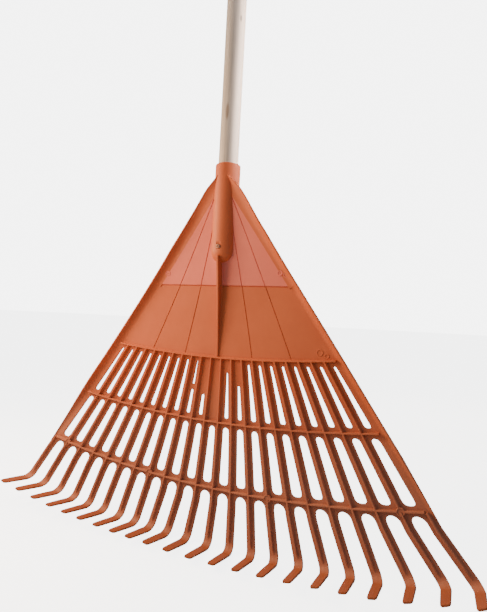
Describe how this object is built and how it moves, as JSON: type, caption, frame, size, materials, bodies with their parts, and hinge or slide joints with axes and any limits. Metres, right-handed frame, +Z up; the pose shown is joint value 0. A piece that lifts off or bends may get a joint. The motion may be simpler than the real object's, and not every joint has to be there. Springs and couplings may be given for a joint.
{
  "type": "leaf rake",
  "caption": "Fan-shaped plastic leaf rake with springy hooked tines, a slotted ribbed head and a round wooden handle.",
  "frame": {"origin": "centre of the socket's mouth, on the handle's axis", "axes": "+Z up along the handle, the fan opens towards -Z, and the hooked tips point to -Y"},
  "size_m": [0.5664, 0.0808, 1.5337],
  "materials": {
    "wood": "weathered, satin",
    "steel": "dull",
    "panel_plastic": "moulded satin, faded",
    "tine_plastic": "moulded satin, soiled"
  },
  "bodies": {
    "head": {"handle": "wood", "handle_screw": "steel", "socket_tube": "panel_plastic", "spine_fin": "panel_plastic", "fan_panel": "panel_plastic", "left_lip": "panel_plastic", "right_lip": "panel_plastic", "upper_lattice": "panel_plastic", "lower_lattice": "tine_plastic"},
    "tine_01": {"tine_01": "tine_plastic"},
    "tine_02": {"tine_02": "tine_plastic"},
    "tine_03": {"tine_03": "tine_plastic"},
    "tine_04": {"tine_04": "tine_plastic"},
    "tine_05": {"tine_05": "tine_plastic"},
    "tine_06": {"tine_06": "tine_plastic"},
    "tine_07": {"tine_07": "tine_plastic"},
    "tine_08": {"tine_08": "tine_plastic"},
    "tine_09": {"tine_09": "tine_plastic"},
    "tine_10": {"tine_10": "tine_plastic"},
    "tine_11": {"tine_11": "tine_plastic"},
    "tine_12": {"tine_12": "tine_plastic"},
    "tine_13": {"tine_13": "tine_plastic"},
    "tine_14": {"tine_14": "tine_plastic"},
    "tine_15": {"tine_15": "tine_plastic"},
    "tine_16": {"tine_16": "tine_plastic"},
    "tine_17": {"tine_17": "tine_plastic"},
    "tine_18": {"tine_18": "tine_plastic"},
    "tine_19": {"tine_19": "tine_plastic"},
    "tine_20": {"tine_20": "tine_plastic"},
    "tine_21": {"tine_21": "tine_plastic"},
    "tine_22": {"tine_22": "tine_plastic"}
  },
  "joints": [
    {"name": "flex_01", "type": "hinge", "parent": "head", "child": "tine_01", "pos_m": [-0.24765, -0.01151, -0.37277], "axis": [0.8254, -0.0786, -0.559], "range_deg": [-6, 14], "stiffness_Nm_per_rad": 0.9},
    {"name": "flex_02", "type": "hinge", "parent": "head", "child": "tine_02", "pos_m": [-0.22348, -0.01207, -0.37715], "axis": [0.8539, -0.0741, -0.5151], "range_deg": [-6, 14], "stiffness_Nm_per_rad": 0.9},
    {"name": "flex_03", "type": "hinge", "parent": "head", "child": "tine_03", "pos_m": [-0.1994, -0.01258, -0.38106], "axis": [0.8807, -0.0687, -0.4686], "range_deg": [-6, 14], "stiffness_Nm_per_rad": 0.9},
    {"name": "flex_04", "type": "hinge", "parent": "head", "child": "tine_04", "pos_m": [-0.17545, -0.01303, -0.38449], "axis": [0.9055, -0.0625, -0.4197], "range_deg": [-6, 14], "stiffness_Nm_per_rad": 0.9},
    {"name": "flex_05", "type": "hinge", "parent": "head", "child": "tine_05", "pos_m": [-0.15165, -0.01343, -0.38746], "axis": [0.9279, -0.0557, -0.3686], "range_deg": [-6, 14], "stiffness_Nm_per_rad": 0.9},
    {"name": "flex_06", "type": "hinge", "parent": "head", "child": "tine_06", "pos_m": [-0.128, -0.01377, -0.38998], "axis": [0.9477, -0.0482, -0.3154], "range_deg": [-6, 14], "stiffness_Nm_per_rad": 0.9},
    {"name": "flex_07", "type": "hinge", "parent": "head", "child": "tine_07", "pos_m": [-0.10449, -0.01406, -0.39205], "axis": [0.9646, -0.0402, -0.2605], "range_deg": [-6, 14], "stiffness_Nm_per_rad": 0.9},
    {"name": "flex_08", "type": "hinge", "parent": "head", "child": "tine_08", "pos_m": [-0.08112, -0.01429, -0.3937], "axis": [0.9784, -0.0318, -0.2042], "range_deg": [-6, 14], "stiffness_Nm_per_rad": 0.9},
    {"name": "flex_09", "type": "hinge", "parent": "head", "child": "tine_09", "pos_m": [-0.05786, -0.01446, -0.39493], "axis": [0.9889, -0.0229, -0.1467], "range_deg": [-6, 14], "stiffness_Nm_per_rad": 0.9},
    {"name": "flex_10", "type": "hinge", "parent": "head", "child": "tine_10", "pos_m": [-0.03468, -0.01457, -0.39574], "axis": [0.996, -0.0139, -0.0884], "range_deg": [-6, 14], "stiffness_Nm_per_rad": 0.9},
    {"name": "flex_11", "type": "hinge", "parent": "head", "child": "tine_11", "pos_m": [-0.01155, -0.01463, -0.39614], "axis": [0.9996, -0.0046, -0.0295], "range_deg": [-6, 14], "stiffness_Nm_per_rad": 0.9},
    {"name": "flex_12", "type": "hinge", "parent": "head", "child": "tine_12", "pos_m": [0.01155, -0.01463, -0.39614], "axis": [0.9996, 0.0046, 0.0295], "range_deg": [-6, 14], "stiffness_Nm_per_rad": 0.9},
    {"name": "flex_13", "type": "hinge", "parent": "head", "child": "tine_13", "pos_m": [0.03468, -0.01457, -0.39574], "axis": [0.996, 0.0139, 0.0884], "range_deg": [-6, 14], "stiffness_Nm_per_rad": 0.9},
    {"name": "flex_14", "type": "hinge", "parent": "head", "child": "tine_14", "pos_m": [0.05786, -0.01446, -0.39493], "axis": [0.9889, 0.0229, 0.1467], "range_deg": [-6, 14], "stiffness_Nm_per_rad": 0.9},
    {"name": "flex_15", "type": "hinge", "parent": "head", "child": "tine_15", "pos_m": [0.08112, -0.01429, -0.3937], "axis": [0.9784, 0.0318, 0.2042], "range_deg": [-6, 14], "stiffness_Nm_per_rad": 0.9},
    {"name": "flex_16", "type": "hinge", "parent": "head", "child": "tine_16", "pos_m": [0.10449, -0.01406, -0.39205], "axis": [0.9646, 0.0402, 0.2605], "range_deg": [-6, 14], "stiffness_Nm_per_rad": 0.9},
    {"name": "flex_17", "type": "hinge", "parent": "head", "child": "tine_17", "pos_m": [0.128, -0.01377, -0.38998], "axis": [0.9477, 0.0482, 0.3154], "range_deg": [-6, 14], "stiffness_Nm_per_rad": 0.9},
    {"name": "flex_18", "type": "hinge", "parent": "head", "child": "tine_18", "pos_m": [0.15165, -0.01343, -0.38746], "axis": [0.9279, 0.0557, 0.3686], "range_deg": [-6, 14], "stiffness_Nm_per_rad": 0.9},
    {"name": "flex_19", "type": "hinge", "parent": "head", "child": "tine_19", "pos_m": [0.17545, -0.01303, -0.38449], "axis": [0.9055, 0.0625, 0.4197], "range_deg": [-6, 14], "stiffness_Nm_per_rad": 0.9},
    {"name": "flex_20", "type": "hinge", "parent": "head", "child": "tine_20", "pos_m": [0.1994, -0.01258, -0.38106], "axis": [0.8807, 0.0687, 0.4686], "range_deg": [-6, 14], "stiffness_Nm_per_rad": 0.9},
    {"name": "flex_21", "type": "hinge", "parent": "head", "child": "tine_21", "pos_m": [0.22348, -0.01207, -0.37715], "axis": [0.8539, 0.0741, 0.5151], "range_deg": [-6, 14], "stiffness_Nm_per_rad": 0.9},
    {"name": "flex_22", "type": "hinge", "parent": "head", "child": "tine_22", "pos_m": [0.24765, -0.01151, -0.37277], "axis": [0.8254, 0.0786, 0.559], "range_deg": [-6, 14], "stiffness_Nm_per_rad": 0.9}
  ]
}
